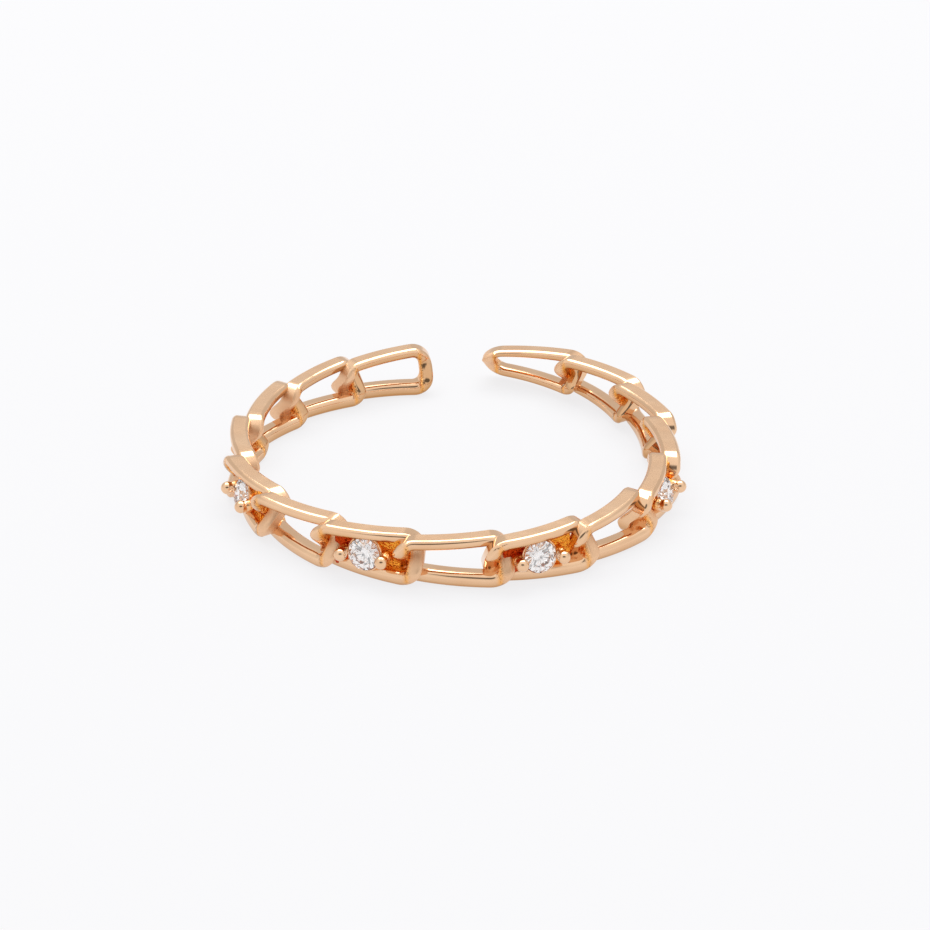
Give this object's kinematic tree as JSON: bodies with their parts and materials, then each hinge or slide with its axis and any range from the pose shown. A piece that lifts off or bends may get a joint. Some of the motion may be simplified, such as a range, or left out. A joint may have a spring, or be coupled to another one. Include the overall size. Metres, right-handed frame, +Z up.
{
  "type": "adjustable open ring",
  "caption": "Adjustable open finger ring: a rigid band of interlocking curb links with flat edges, set with small round clear stones between bead prongs.",
  "frame": {"origin": "on the ring's axis, level with the flat underside of the band", "axes": "+Z up along the ring's axis, -Y to the middle link at the front, +Y to the opening, +X to the viewer's right"},
  "size_m": [0.0203, 0.0208, 0.0022],
  "materials": {
    "gold": "polished",
    "stone": "faceted"
  },
  "bodies": {
    "root": {"link_band": "gold", "stone_left": "stone", "stone_front_left": "stone", "stone_front_right": "stone", "stone_right": "stone"}
  },
  "joints": []
}
